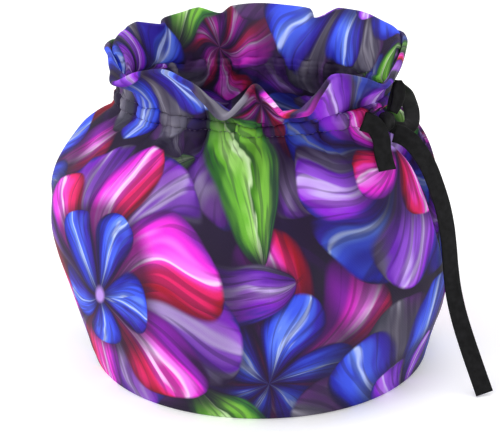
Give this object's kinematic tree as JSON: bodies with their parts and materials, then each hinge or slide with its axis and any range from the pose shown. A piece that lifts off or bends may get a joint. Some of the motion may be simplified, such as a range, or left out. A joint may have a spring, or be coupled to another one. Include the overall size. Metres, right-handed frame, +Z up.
{
  "type": "tea cosy",
  "caption": "Fitted tea cosy of printed cloth with side slits for spout and handle, a gathered neck with a black ribbon drawstring, and a frilled top.",
  "frame": {"origin": "centre of the cosy's box at the level of the hem, measured without the ribbon's two free ends", "axes": "+X towards the pot's handle, -X towards its spout, -Y the front, +Z up from the hem"},
  "size_m": [0.2369, 0.1934, 0.1635],
  "materials": {
    "front_print": "printed cloth with a soft sheen",
    "back_print": "printed cloth with a soft sheen",
    "ribbon": "matt woven ribbon"
  },
  "bodies": {
    "root": {"front_panel": "front_print", "back_panel": "back_print", "drawstring": "ribbon", "knot": "ribbon", "bow_loop": "ribbon", "tail_short": "ribbon", "tail_long": "ribbon"}
  },
  "joints": []
}
